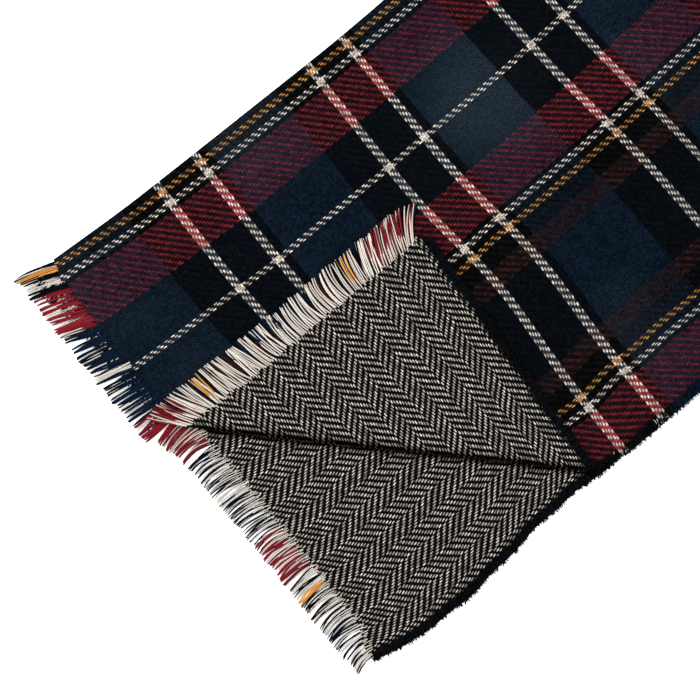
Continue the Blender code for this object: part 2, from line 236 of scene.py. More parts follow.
class ScarfYarns(bpy.types.PropertyGroup):
    """The yarns' colours."""

    navy: bpy.props.FloatVectorProperty(
        name="Navy", description="Ground of the tartan", subtype="COLOR", size=3, min=0, max=1,
        default=(0.0024, 0.0064, 0.0150),
    )
    black: bpy.props.FloatVectorProperty(
        name="Black", description="Dark checks and the reverse's weft", subtype="COLOR", size=3, min=0, max=1,
        default=(0.0024, 0.0026, 0.0032),
    )
    red: bpy.props.FloatVectorProperty(
        name="Red", description="Broad bands of the tartan", subtype="COLOR", size=3, min=0, max=1,
        default=(0.118, 0.0080, 0.0125),
    )
    cream: bpy.props.FloatVectorProperty(
        name="Cream", description="Fine lines, and the reverse's warp", subtype="COLOR", size=3, min=0, max=1,
        default=(0.54, 0.49, 0.43),
    )
    gold: bpy.props.FloatVectorProperty(
        name="Gold", description="Fine line beside the cream one", subtype="COLOR", size=3, min=0, max=1,
        default=(0.42, 0.18, 0.035),
    )
    rust: bpy.props.FloatVectorProperty(
        name="Rust", description="Faint brown-red band", subtype="COLOR", size=3, min=0, max=1,
        default=(0.022, 0.0066, 0.0062),
    )


class ScarfCloth(bpy.types.PropertyGroup):
    """Sizes of the cloth and its fringe."""

    thickness: bpy.props.FloatProperty(
        name="Cloth thickness", description="Of the double-faced cloth", default=0.0020, min=0.0005,
        max=0.003, unit="LENGTH",
    )
    ridge_height: bpy.props.FloatProperty(
        name="Ridge height", description="Scales the soft ridges that the cloth lies in", default=1.0,
        min=0.0, max=2.0, subtype="FACTOR",
    )
    fringe_yarn: bpy.props.FloatProperty(
        name="Fringe yarn", description="Thickness of the face's warp ends", default=0.0016, min=0.0005,
        max=0.003, unit="LENGTH",
    )
    lining_yarn: bpy.props.FloatProperty(
        name="Reverse yarn", description="Thickness of the reverse's warp ends", default=0.0009, min=0.0003,
        max=0.003, unit="LENGTH",
    )


class ScarfStage(bpy.types.PropertyGroup):
    """Floor, lights and camera."""

    camera_height: bpy.props.FloatProperty(
        name="Camera height", description="Above the surface", default=2.0, min=0.5, max=10.0, unit="LENGTH"
    )
    view_width: bpy.props.FloatProperty(
        name="View width", description="What the camera sees of the surface", default=0.4991, min=0.1,
        max=4.0, unit="LENGTH",
    )
    floor_color: bpy.props.FloatVectorProperty(
        name="Floor", description="Colour of the surface", subtype="COLOR", size=3, min=0, max=1,
        default=(0.93, 0.93, 0.925),
    )


# The cloth as it lies


def ease(share):
    """0 to 1 with no slope at either end: 3 s^2 - 2 s^3."""
    share = np.clip(share, 0.0, 1.0)
    return share * share * (3.0 - 2.0 * share)


def lie_and_slope(along):
    """The bend's sideways run and its slope: a cubic through LIE's rows with a smooth slope at each."""
    stations = np.array(LIE["along"])
    values = np.array(LIE["sideways"])
    slopes = np.gradient(values, stations)
    row = np.clip(np.searchsorted(stations, along) - 1, 0, len(stations) - 2)
    span = stations[row + 1] - stations[row]
    t = np.clip((along - stations[row]) / span, 0.0, 1.0)
    sideways = (
        (2 * t**3 - 3 * t**2 + 1) * values[row]
        + (t**3 - 2 * t**2 + t) * span * slopes[row]
        + (3 * t**2 - 2 * t**3) * values[row + 1]
        + (t**3 - t**2) * span * slopes[row + 1]
    )
    slope = (
        (6 * t**2 - 6 * t) * (values[row] - values[row + 1]) / span
        + (3 * t**2 - 4 * t + 1) * slopes[row]
        + (3 * t**2 - 2 * t) * slopes[row + 1]
    )
    return sideways, slope


def ridges(along, depth):
    """Height of the soft ridges: each is a long bell, exp(-(run / length)^2 - (aside / width)^2)."""
    height = np.zeros(np.broadcast(along, depth).shape)
    for middle_along, middle_depth, way, length, width, top in RIDGES:
        turn = math.radians(way)
        out, over = along - middle_along, depth - middle_depth
        run = out * math.cos(turn) + over * math.sin(turn)
        aside = over * math.cos(turn) - out * math.sin(turn)
        height += top * np.exp(-((run / length) ** 2) - (aside / width) ** 2)
    return height * bpy.context.scene.scarf_cloth.ridge_height


def lay(along, depth, height):
    """Points in the frame. A line across the cloth stays square to the bend. The ridges lift all layers."""
    along, depth, height = np.broadcast_arrays(along, depth, height)
    sideways, slope = lie_and_slope(along)
    sideways = sideways + NEAR_SHIFT * ease(1.0 - along / NEAR_SHIFT_REACH)
    return np.stack(
        [
            along + slope * depth - MIDDLE_ALONG,
            sideways - depth + MIDDLE_DEPTH,
            height + ridges(along, depth),
        ],
        axis=-1,
    )


def slip(depth):
    """How far the lower layer has slipped along: SLIP (1 - exp(-depth / SLIP_REACH))."""
    return SLIP * (1.0 - np.exp(-np.asarray(depth) / SLIP_REACH))


def lower_plan(along, depth):
    """Where a point of the lower layer lies: it slips along, and spreads near its end."""
    along = along + slip(depth)
    share = ease((SPREAD_GONE_AFTER - along) / (SPREAD_GONE_AFTER - SPREAD_FULL_BEFORE))
    return along, depth * (1.0 + SPREAD * share)


def near_hem(depth):
    """Where the upper layer's near hem lies: it is drawn in beside the crease and at the lengthwise fold."""
    at_crease = HEM_PULL * np.minimum(depth / CREASE_AT_HEM[1], 1.0) ** 4
    return FRINGE + at_crease + FOLD_PULL * ease(1.0 - depth / CORNER_REACH)


def bottom_hem(depth):
    """Where the lower layer's near hem lies. At its open corner the cloth runs out further."""
    return FRINGE - CORNER_RUN_OUT * ease((depth - CORNER_STARTS) / CORNER_REACH)


def raggedness(along):
    """How far an open edge stays inside its straight line: two long sines."""
    return 0.0006 * (1.0 + np.sin(along * 151.0 + 2.0)) + 0.0005 * (1.0 + np.sin(along * 43.0))


def bottom_edge(along):
    """Depth of the lower layer's open edge: ragged, and rounded at its near corner."""
    from_corner = along - bottom_hem(BOTTOM_WIDTH)
    return BOTTOM_WIDTH - raggedness(along) - CORNER_ROUNDING * ease(1.0 - from_corner / CORNER_REACH)


class Crease:
    """The line that the corner is turned back along, with run along it and reach square to it."""

    def __init__(self):
        self.start = np.array(CREASE_AT_HEM)
        line = np.array(CREASE_AT_EDGE) - self.start
        self.length = float(np.hypot(*line))
        self.line = line / self.length
        self.square = np.array([self.line[1], -self.line[0]])
        tip = np.array(TURNED_TIP) - self.start
        self.tip_run = float(tip @ self.line)
        self.tip_reach = float(tip @ self.square)
        self.seam_hem_depth = self.start[1] - ROLL_SEAM * (self.line[1] / self.square[0] + self.line[0])

    def plan(self, run, reach):
        """Along and depth: the start plus run times the line plus reach times the square."""
        return (
            self.start[0] + run * self.line[0] + reach * self.square[0],
            self.start[1] + run * self.line[1] + reach * self.square[1],
        )

    def radius(self, run):
        """Of the roll's middle surface: fuller halfway between the hem and the open edge."""
        share = np.clip(run / self.length, 0.0, 1.0)
        return ROLL_RADIUS_ENDS + (ROLL_RADIUS_MIDDLE - ROLL_RADIUS_ENDS) * np.sin(math.pi * share)

    def flat_side_runs(self, reach):
        """Where the hem and the open edge, if they lay flat, would cross a line at this reach."""
        first = -reach * self.line[1] / -self.square[1]
        last = self.length + reach * self.line[0] / self.square[0]
        return first, last

    def turned_side_runs(self, reach):
        """Where the turned corner's hem and open edge cross it. Both run straight to the tip."""
        first = reach * self.tip_run / self.tip_reach
        last = self.length - reach * (self.length - self.tip_run) / self.tip_reach
        return first, last

    def turned_height(self, run, reach):
        """Of the turned corner's middle surface: from the top of the roll down onto the upper layer."""
        radius = self.radius(run)
        start = radius + WALL / 2
        drop = ease((reach - start) / (ROLL_SETTLE - start))
        return TOP_MIDDLE + 2 * radius + (TURNED_MIDDLE - TOP_MIDDLE - 2 * radius) * drop


CREASE = Crease()
TURNED_LAST = CREASE.tip_reach - TIP_BLUNTING


# Threads


def picks(along):
    """Picks from the near hem: the sum of 1 / pitch from the hem on."""
    stations = np.linspace(0.0, PICK_PITCH["along"][-1], 2000)
    pitch = np.interp(stations, PICK_PITCH["along"], PICK_PITCH["pitch"])
    steps = np.diff(stations) * (1.0 / pitch[1:] + 1.0 / pitch[:-1]) / 2
    counted = np.concatenate([[0.0], np.cumsum(steps)])
    return np.interp(along, stations, counted) - np.interp(FRINGE, stations, counted)


def face_threads(along, depth):
    """(picks, ends) of the upper layer's face, with its bowed picks and wandering ends."""
    start, full, half = WEFT_BOW_DEPTHS
    bow = np.interp(along, WEFT_BOW["along"], WEFT_BOW["bow"])
    bow = bow * ease((depth - start) / (full - start)) * (1.0 - 0.5 * ease((depth - full) / (half - full)))
    drawn = HEM_PULL * np.minimum(depth / CREASE_AT_HEM[1], 1.0) ** 4 * (1.0 - ease((along - 0.10) / 0.12))
    upper = np.interp(along, WARP_WANDER["along"], WARP_WANDER["upper"])
    lower = np.interp(along, WARP_WANDER["along"], WARP_WANDER["lower"])
    at_fold = np.interp(along, WARP_WANDER["along"], WARP_WANDER["fold"])
    first, second = WARP_WANDER_DEPTHS
    wander = at_fold + (upper - at_fold) * ease(depth / first)
    wander = wander + lower * ease((depth - first) / (second - first))
    return picks(along - bow - drawn), (depth - wander) / FACE_END_PITCH


def lower_threads(along, depth):
    """(picks, ends) of the lower layer's reverse. Its columns are drawn to the fold a little at one place."""
    middle, reach, most = LOWER_WANDER
    drawn = most * np.exp(-(((along + slip(depth) - middle) / reach) ** 2))
    return (along - FRINGE) / REVERSE_PITCH, (depth + drawn) / REVERSE_PITCH - 1.0


def sett_yarn(ends_from_pivot):
    """Names of the warp yarns at whole numbers of ends from a pivot, mirrored at each pivot."""
    repeat = 2 * WARP_HALF_REPEAT
    place = np.abs((np.asarray(ends_from_pivot) + WARP_HALF_REPEAT) % repeat - WARP_HALF_REPEAT)
    starts = [first for first, _ in WARP_SETT]
    return [WARP_SETT[row][1] for row in np.searchsorted(starts, place, side="right") - 1]


# Materials


def adds(operation):
    """An operator of Number that adds a Math node."""
    return lambda number, *others: number.nodes.calc(operation, number, *others)


class Number:
    """A number that a node gives. Arithmetic on it adds Math nodes, and a comparison gives 1 or 0."""

    __add__ = adds("ADD")
    __sub__ = adds("SUBTRACT")
    __mul__ = adds("MULTIPLY")
    __truediv__ = adds("DIVIDE")
    __mod__ = adds("FLOORED_MODULO")
    __pow__ = adds("POWER")
    __lt__ = adds("LESS_THAN")
    __gt__ = adds("GREATER_THAN")
    __abs__ = adds("ABSOLUTE")
    pingpong = adds("PINGPONG")
    at_least = adds("MAXIMUM")
    floor = adds("FLOOR")
    fraction = adds("FRACT")
    root = adds("SQRT")
    times_plus = adds("MULTIPLY_ADD")

    def __init__(self, nodes, socket):
        self.nodes = nodes
        self.socket = socket

    def __rsub__(self, other):
        return self.nodes.calc("SUBTRACT", other, self)

    def choose(self, one, zero):
        """one where this is 1 and zero where it is 0."""
        return self.times_plus(one - zero, zero)

    def blend(self, low, high):
        """low + share (high - low), for a share of 0 to 1."""
        ends = {"Value": self, "To Min": low, "To Max": high}
        return self.nodes.number("ShaderNodeMapRange", ends, clamp=True)

    def step(self, low, high):
        """0 below low, 1 above high and smooth between."""
        ends = {"Value": self, "From Min": low, "From Max": high}
        return self.nodes.number("ShaderNodeMapRange", ends, interpolation_type="SMOOTHSTEP")

    def of(self, color):
        """This much of a colour."""
        return self.nodes.color("ShaderNodeVectorMath", {0: color, "Scale": self}, operation="SCALE")


class Color:
    """A colour or another vector that a node gives. It is added to another, or scaled by a number."""

    def __init__(self, nodes, socket):
        self.nodes = nodes
        self.socket = socket

    def __add__(self, other):
        return self.nodes.color("ShaderNodeVectorMath", {0: self, 1: other}, operation="ADD")

    def __mul__(self, factor):
        return self.nodes.color("ShaderNodeVectorMath", {0: self, "Scale": factor}, operation="SCALE")

    def split(self):
        """Its three numbers."""
        parts = self.nodes.put("ShaderNodeSeparateXYZ", {0: self}).outputs
        return [Number(self.nodes, part) for part in parts]

    def light(self):
        """Its grey light."""
        return self.nodes.number("ShaderNodeRGBToBW", {0: self})

    def soften(self, knee):
        """color knee / (color + knee): a dark colour stays, and a bright one is held down to the knee."""
        raised = self + (knee,) * 3
        return self.nodes.color("ShaderNodeVectorMath", {0: self, 1: raised}, operation="DIVIDE") * knee


class Nodes:
    """Adds nodes to a material and wires them. An input is a number, a vector, a Number or a Color."""

    def __init__(self, name):
        self.material = bpy.data.materials.new(name)
        self.material.use_nodes = True
        self.tree = self.material.node_tree
        self.shader = self.tree.nodes["Principled BSDF"]
        self.here = self.put("ShaderNodeTexCoord", {}).outputs["Object"]

    def put(self, kind, inputs, **settings):
        node = self.tree.nodes.new(kind)
        for key, value in settings.items():
            setattr(node, key, value)
        for key, value in inputs.items():
            self.set(node.inputs[key], value)
        return node

    def set(self, socket, value):
        value = getattr(value, "socket", value)
        if isinstance(value, bpy.types.NodeSocket):
            self.tree.links.new(value, socket)
        else:
            socket.default_value = value

    def number(self, kind, inputs, output=0, **settings):
        return Number(self, self.put(kind, inputs, **settings).outputs[output])

    def color(self, kind, inputs, output=0, **settings):
        return Color(self, self.put(kind, inputs, **settings).outputs[output])

    def calc(self, operation, *values):
        return self.number("ShaderNodeMath", dict(enumerate(values)), operation=operation)

    def join(self, *parts):
        return self.color("ShaderNodeCombineXYZ", dict(enumerate(parts)))

    def mix(self, share, first, second, blend_type="MIX"):
        inputs = {0: share, 6: first, 7: second}
        return self.color("ShaderNodeMix", inputs, 2, data_type="RGBA", blend_type=blend_type)

    def noise(self, vector, scale, detail=2.0, roughness=0.55):
        inputs = {"Vector": vector, "Scale": scale, "Detail": detail, "Roughness": roughness}
        return self.number("ShaderNodeTexNoise", inputs)

    def draws(self, vector):
        """A number and three more, drawn for each place in a grid."""
        node = self.put("ShaderNodeTexWhiteNoise", {"Vector": vector}, noise_dimensions="3D")
        return Number(self, node.outputs["Value"]), Color(self, node.outputs["Color"]).split()

    def fibre(self, scale, roughness, detail=3.0):
        return self.noise(self.here, scale, detail, roughness)

    def nap(self):
        """Loose fibres that lie over the weave."""
        return self.fibre(1000.0, 0.65).step(0.3, 0.7)

    def attribute(self, name):
        return self.number("ShaderNodeAttribute", {}, "Fac", attribute_name=name)

    def chart(self, place, sett, length, yarns):
        """The colour of the yarn at a whole number of threads into a sett of this length."""
        ramp = self.put("ShaderNodeValToRGB", {"Fac": (place + 0.5) / float(length)})
        ramp.color_ramp.interpolation = "CONSTANT"
        elements = ramp.color_ramp.elements
        elements.remove(elements[1])
        for number, (first, yarn) in enumerate(sett):
            element = elements[0] if number == 0 else elements.new(first / length)
            element.position = first / length
            element.color = (*getattr(yarns, yarn), 1.0)
        return Color(self, ramp.outputs["Color"])

    def weft_color(self, pick, yarns):
        return self.chart(pick % float(WEFT_REPEAT), WEFT_SETT, WEFT_REPEAT, yarns)

    def threads(self, uv_map, unevenness):
        """(pick, end, place within the pick, place within the end) from a map that counts threads."""
        counted = self.color("ShaderNodeUVMap", {}, uv_map=uv_map)
        drift = self.color("ShaderNodeTexNoise", {"Vector": counted, "Scale": 0.21, "Detail": 1.0}, "Color")
        u, v, _ = (counted + (drift + (-0.5,) * 3) * unevenness).split()
        return u.floor(), v.floor(), u.fraction(), v.fraction()

    def brushed_ends(self, yarns, weft_share):
        """The weft's cut ends, brushed out at an open edge: dark streaks square to the edge."""
        u, v, _ = self.color("ShaderNodeUVMap", {}, uv_map="face_threads").split()
        lit = self.noise(self.join(u, v * 0.16), 0.9, 2.0, 0.6).step(0.38, 0.68)
        weft = self.weft_color(u.floor(), yarns).soften(0.01)
        return self.mix(weft_share, (*yarns.black, 1.0), weft) * lit.blend(0.3, 1.4)

    def finish_cloth(self, color, height, bump_distance, roughness):
        inputs = {"Height": height, "Strength": 0.75, "Distance": bump_distance}
        self.set(self.shader.inputs["Base Color"], color)
        self.set(self.shader.inputs["Normal"], self.put("ShaderNodeBump", inputs).outputs[0])
        self.shader.inputs["Roughness"].default_value = roughness
        self.shader.inputs["Specular IOR Level"].default_value = 0.01
        return self.material


def twill(threads, hand, shift, slants, fineness):
    """A 2/2 twill: the warp is up where (pick + hand end + shift) mod 4 is under 2.

    Returns whether the warp is up, how far the yarn is lit there, its height, and a number that is the
    float's own. A float covers two threads, is round across and dips at both ends, and lies a little aslant
    and off its middle. slants and fineness are given for the warp and the weft.
    """
    pick, end, in_pick, in_end = threads
    q = (end.times_plus(hand, pick) + shift) % 4.0
    up = q < 1.5
    # Which of its two threads a weft float is over: q - 2 in a right-hand twill, 3 - q in a left-hand one.
    over = (q - 2.5).times_plus(hand, 0.5)
    place = pick.nodes.join(up.choose(pick - q, pick), up.choose(end, end - over), up)
    own, draws = pick.nodes.draws(place)
    run = up.choose((q + in_pick) * 0.5, (over + in_end) * 0.5) - 0.5
    aside = up.choose(in_end, in_pick) + run * up.choose(*slants) - draws[1].blend(0.42, 0.58)
    across = aside * (draws[2].blend(1.12, 0.9) * up.choose(*fineness))
    dip = 1.0 - abs(run * 2.05) ** 3.0
    # lit is painted shade: a float is bright along its middle and dark at its sides and ends, where its
    # neighbours would shade it.
    lit = (1.0 - across * across).at_least(0.0) * dip.at_least(0.0)
    return up, lit, lit.root(), own


def tartan_material(name, yarns, hand):
    """Brushed twill tartan. Ends are counted from the fold, and hand -1 slants the twill like a backslash.

    The nap blends each yarn with the one that it crosses. Pale wefts are fuller and light up the warp beside
    them. Black wefts put out the navy warp. Navy wefts turn the red warp purple and darken the rust one.
    """
    nodes = Nodes(name)
    threads = nodes.threads("face_threads", 0.35)
    pick, end, _, _ = threads
    place = (end - float(FOLD_TO_PIVOT)).pingpong(float(WARP_HALF_REPEAT))
    warp = nodes.chart(place, WARP_SETT, WARP_HALF_REPEAT, yarns)
    weft = nodes.weft_color(pick, yarns)
    warp_light, weft_light = warp.light(), weft.light()
    pale_warp, pale_weft = warp_light > PALE_YARN, weft_light > PALE_YARN
    black_weft = weft_light < BLACK_YARN
    navy_weft = pale_weft.blend(1.0, 0.0) - black_weft
    navy_warp = warp_light < NAVY_YARN
    above_rust = warp_light > RUST_YARN
    red_warp = above_rust - pale_warp
    rust_warp = (warp_light > NAVY_YARN) - above_rust
    fineness = (pale_warp.at_least(pale_weft).blend(2.7, 3.2), pale_weft.blend(2.7, 2.1))
    up, lit, height, own = twill(threads, float(hand), 0.0, (0.1 * hand, -0.28 * hand), fineness)

    redder = navy_weft.times_plus(-0.35, pale_weft.blend(0.1, 1.1))
    gain = red_warp.times_plus(redder, pale_weft.blend(1.1, 1.0))
    gain = gain * (black_weft * navy_warp).blend(1.0, 0.3) * (navy_weft * rust_warp).blend(1.0, 0.72)
    purple = red_warp * navy_weft
    warp = warp * gain + purple.of((0.0, 0.002, 0.010))
    weft = weft + purple.of((0.002, 0.0015, 0.0025))
    share = pale_weft.blend(0.06, 0.04) * pale_warp.blend(1.0, 0.15)
    yarn = nodes.mix(share, nodes.mix(up, weft, warp), nodes.mix(up, warp, weft))
    # Painted shade between the floats: where lit is low, the colour goes to between, the two yarns multiplied
    # with a little of the yarn.
    between = nodes.mix(1.0, warp, weft, "MULTIPLY") + yarn.soften(0.02)

    nap = nodes.nap()
    shade = own.blend(0.5, 1.2) * nap.blend(0.3, 1.7) * nodes.noise(nodes.here, 28.0, 3.0).blend(0.85, 1.15)
    color = nodes.mix(lit, between, yarn) * shade
    ragged = nodes.noise(nodes.here, 420.0).times_plus(0.006, nodes.attribute("to_edge"))
    band = pale_weft.times_plus(0.0055, ragged).step(BAND - 0.0005, BAND + 0.0045)
    color = nodes.mix(band, nodes.brushed_ends(yarns, 0.6), color)
    # Painted sheen, partly the nap's own pale fuzz: a grey tint added over the dark yarns in patches, most
    # near one place on the face and less over black wefts.
    ends = {0: nodes.here, 1: NAP_SHEEN_MIDDLE}
    from_sheen_middle = nodes.number("ShaderNodeVectorMath", ends, "Value", operation="DISTANCE")
    fuzz_and_sheen = nodes.noise(nodes.here, 9.0, 3.0).step(0.35, 0.8) * 0.45
    fuzz_and_sheen = fuzz_and_sheen + from_sheen_middle.step(0.068, 0.015).blend(0.0, 0.7)
    fuzz_and_sheen = fuzz_and_sheen * black_weft.blend(1.0, 0.12) * nap.blend(0.3, 1.7)
    color = color + fuzz_and_sheen.of((0.0080, 0.0115, 0.0135))
    return nodes.finish_cloth(color, nap.times_plus(0.5, height), 0.0005, 0.92)


def herringbone_material(name, yarns, slant, turn_slant):
    """The reverse: cream warp on black weft, a twill that turns over and breaks every eight ends.

    It has painted shade towards the crease line: it darkens by the distance from it on both sides.
    """
    nodes = Nodes(name)
    pick, end, in_pick, in_end = nodes.threads("reverse_threads", 0.45)
    column = ((end + 0.5) / float(HERRINGBONE_COLUMN)).floor()
    odd = column % 2.0
    hand = odd.times_plus(-2.0, 1.0)
    aslant = hand.times_plus(turn_slant, slant)
    threads = (pick, end - column * float(HERRINGBONE_COLUMN), in_pick, in_end)
    up, lit, height, own = twill(threads, hand, odd, (aslant, aslant), (3.1, 3.1))
    each, _ = nodes.draws(nodes.join(own + column, pick, end))
    nap = nodes.nap()
    # Painted shade between the floats from lit, times the yarns' own random tone and the nap.
    shade = lit.blend(0.03, 1.1) * own.blend(0.35, 1.2) * each.blend(0.9, 1.1) * nap.blend(0.45, 1.5)
    shade = shade * nodes.noise(nodes.here, 40.0, 3.0).blend(0.88, 1.1)
    color = nodes.mix(up, (*yarns.black, 1.0), (*yarns.cream, 1.0)) * shade
    color = color + nap.of((0.0036, 0.0030, 0.0026))
    ragged = nodes.noise(nodes.here, 420.0).times_plus(0.005, nodes.attribute("to_edge"))
    color = nodes.mix(ragged.step(BAND + 0.001, BAND + 0.003), nodes.brushed_ends(yarns, 0.08), color)
    # Painted shade along the crease: the colour darkens towards the crease line on both sides, to a tenth at
    # the line.
    first, last = lay(*CREASE_AT_HEM, 0.0), lay(*CREASE_AT_EDGE, 0.0)
    square = np.array([first[1] - last[1], last[0] - first[0], 0.0])
    square /= np.linalg.norm(square)
    along_square = {0: nodes.here, 1: tuple(square)}
    from_origin = nodes.number("ShaderNodeVectorMath", along_square, "Value", operation="DOT_PRODUCT")
    away = abs(from_origin - float(square @ first))
    color = color * away.step(0.0006, CREASE_SHADE_DEPTH).blend(0.1, 1.0)
    return nodes.finish_cloth(color, nap.times_plus(0.5, height), 0.0006, 0.9)


def brushed_material(name, yarns):
    """The cloth's cut edge, in the weft's colours."""
    nodes = Nodes(name)
    return nodes.finish_cloth(nodes.brushed_ends(yarns, 0.08), nodes.fibre(1800.0, 0.7), 0.0003, 0.95)


def tuft_material(name):
    """Brushed fibres: each tuft's own colour, with loose fibres."""
    nodes = Nodes(name)
    color = nodes.color("ShaderNodeAttribute", {}, "Color", attribute_name="yarn_color")
    fibre = nodes.fibre(1500.0, 0.7)
    return nodes.finish_cloth(color * fibre.blend(0.5, 1.6), fibre, 0.0003, 0.95)


def yarn_material(name):
    """Two-ply yarn in the strand's own colour, with the plies' twist, loose fibres and shaded flanks."""
    nodes = Nodes(name)
    color = nodes.color("ShaderNodeAttribute", {}, "Color", attribute_name="yarn_color")
    run, around, _ = nodes.color("ShaderNodeUVMap", {}, uv_map="yarn").split()
    ply = run.times_plus(620.0, around * 0.5).pingpong(0.5).step(0.0, 0.3)
    shade = ply.blend(0.84, 1.05) * nodes.fibre(1500.0, 0.65).blend(0.62, 1.38)
    # Painted shade: each yarn is darker on its flanks than on its top, by the upward part of its ring.
    shade = shade * nodes.attribute("upward").step(-0.1, 0.85).blend(0.12, 1.0)
    return nodes.finish_cloth(color * shade, ply, 0.0003, 0.9)


def paper_material(name, color, roughness, glow):
    """Matt paper that glows a little, as on a light table, so that shadows stay faint."""
    nodes = Nodes(name)
    shade = nodes.noise(nodes.here, 6.0).blend(0.995, 1.005)
    nodes.set(nodes.shader.inputs["Base Color"], shade.of(tuple(color)))
    nodes.shader.inputs["Roughness"].default_value = roughness
    nodes.shader.inputs["Specular IOR Level"].default_value = 0.0
    nodes.shader.inputs["Emission Color"].default_value = (1.0, 1.0, 1.0, 1.0)
    nodes.shader.inputs["Emission Strength"].default_value = glow
    return nodes.material


# Meshes


def add_mesh(name, points, faces, materials, material_index=None, uv_maps=None, floats=None, colors=None):
    """A mesh object at the origin. uv_maps, floats and colors hold one value for each point."""
    mesh = bpy.data.meshes.new(name)
    mesh.vertices.add(len(points))
    mesh.vertices.foreach_set("co", np.asarray(points, np.float32).ravel())
    faces = np.asarray(faces, np.int32)
    mesh.loops.add(faces.size)
    mesh.loops.foreach_set("vertex_index", faces.ravel())
    mesh.polygons.add(len(faces))
    mesh.polygons.foreach_set("loop_start", np.arange(0, faces.size, faces.shape[1], dtype=np.int32))
    if material_index is not None:
        mesh.polygons.foreach_set("material_index", np.asarray(material_index, np.int32))
    mesh.update(calc_edges=True)
    mesh.shade_smooth()
    for key, values in (uv_maps or {}).items():
        layer = mesh.uv_layers.new(name=key)
        layer.data.foreach_set("uv", np.asarray(values, np.float32)[faces.ravel()].ravel())
    for key, values in (floats or {}).items():
        made = mesh.attributes.new(key, "FLOAT", "POINT")
        made.data.foreach_set("value", np.asarray(values, np.float32))
    for key, values in (colors or {}).items():
        made = mesh.attributes.new(key, "FLOAT_COLOR", "POINT")
        made.data.foreach_set("color", np.asarray(values, np.float32).ravel())
    for item in materials:
        mesh.materials.append(item)
    mesh.set_sharp_from_angle(angle=math.radians(50))
    obj = bpy.data.objects.new(name, mesh)
    bpy.context.scene.collection.objects.link(obj)
    return obj


def normals_of(points):
    """Unit normals of a grid whose rows run in +X and follow each other in -Y: next row x next column."""
    normal = np.cross(np.gradient(points, axis=0), np.gradient(points, axis=1))
    return normal / np.linalg.norm(normal, axis=2, keepdims=True)


def cloth_shell(name, middle, normal, maps, to_edge, materials, node):
    """A closed thin sheet: the middle surface moved half the thickness each way along its normal, and a rim.

    maps and to_edge hold one value for each point of the middle surface. materials are the outer side's, the
    inner side's and the rim's.
    """
    half = bpy.context.scene.scarf_cloth.thickness / 2
    rows, columns = middle.shape[:2]
    count = rows * columns
    points = np.concatenate([middle + normal * half, middle - normal * half]).reshape(-1, 3)
    index = np.arange(count).reshape(rows, columns)
    corners = [index[:-1, :-1], index[1:, :-1], index[1:, 1:], index[:-1, 1:]]
    outer = np.stack(corners, axis=-1).reshape(-1, 4)
    inner = outer[:, ::-1] + count
    ring = np.concatenate([index[0, :-1], index[:-1, -1], index[-1, :0:-1], index[:0:-1, 0]])
    after = np.roll(ring, -1)
    rim = np.stack([ring, after, after + count, ring + count], axis=-1)
    piece = add_mesh(
        name,
        points,
        np.concatenate([outer, inner, rim]),
        materials,
        np.repeat([0, 1, 2], [len(outer), len(inner), len(rim)]),
        uv_maps={key: np.tile(value.reshape(-1, 2), (2, 1)) for key, value in maps.items()},
        floats={"to_edge": np.tile(np.broadcast_to(to_edge, (rows, columns)).ravel(), 2)},
    )
    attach(piece, "root")
    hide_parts(node)
    return piece


def tube_faces(count, sections, sides):
    """Triangles of tubes whose points are numbered by tube, section and side, with a face at each end."""
    index = np.arange(count * sections * sides).reshape(count, sections, sides)
    onward = np.roll(index, -1, axis=2)
    walls = np.stack([index[:, :-1], onward[:, :-1], onward[:, 1:], index[:, 1:]], axis=-1).reshape(-1, 4)
    caps = [end[:, [0, k, k + 1]] for end in (index[:, 0, ::-1], index[:, -1]) for k in range(1, sides - 1)]
    return np.concatenate([walls[:, [0, 1, 2]], walls[:, [0, 2, 3]], *caps])


def for_points(colors, ring):
    """Each tube's colour, opaque, for each of its points."""
    return np.repeat(np.column_stack([colors, np.ones(len(colors))]), ring[0].size // 3, axis=0)


def beside(line, shares, reach, side):
    """Flat unit directions at shares of a line: onward along it, and away from it, square to it.

    Seen from above, away is to its left (side 1) or right (side -1).
    """
    step = line(np.minimum(shares + reach, 1.0)) - line(np.maximum(shares - reach, 0.0))
    onward = step * (1.0, 1.0, 0.0)
    onward /= np.linalg.norm(onward, axis=1, keepdims=True)
    away = np.stack([-onward[:, 1], onward[:, 0], 0.0 * onward[:, 2]], axis=1) * side
    return onward, away


def spread(first, last):
    """A function from shares of 0 to 1 to values between first and last."""
    return lambda shares: first + (last - first) * shares


def across(start, stop, step):
    """Values from start to stop, no more than a step apart."""
    return np.linspace(start, stop, 1 + math.ceil((stop - start) / step))


def section_columns(first):
    """Distances along for rows that start at first, and the last column of each length."""
    parts, joins = [], []
    start = np.asarray(first)[:, None]
    for stop in (*SECTION_ENDS, LAST_ALONG):
        near = not parts
        span = stop - (FRINGE if near else float(start[0, 0]))
        shares = np.linspace(0.0, 1.0, 1 + round(span / (NEAR_STEP if near else FAR_STEP)))
        part = start + (stop - start) * shares
        parts.append(part if near else part[:, 1:])
        joins.append(sum(p.shape[1] for p in parts) - 1)
        start = np.full((len(first), 1), stop)
    return np.concatenate(parts, axis=1), joins


def make_lengths(node, middle, maps, to_edge, joins, materials):
    """The layer's four lengths, which share the points where they meet."""
    normal = normals_of(middle)
    first = 0
    for number, last in enumerate(joins):
        part = slice(first, last + 1)
        piece = cloth_shell(
            f"{node}_length_{number + 1}", middle[:, part], normal[:, part],
            {key: value[:, part] for key, value in maps.items()}, to_edge, materials, node,
        )
        first = last


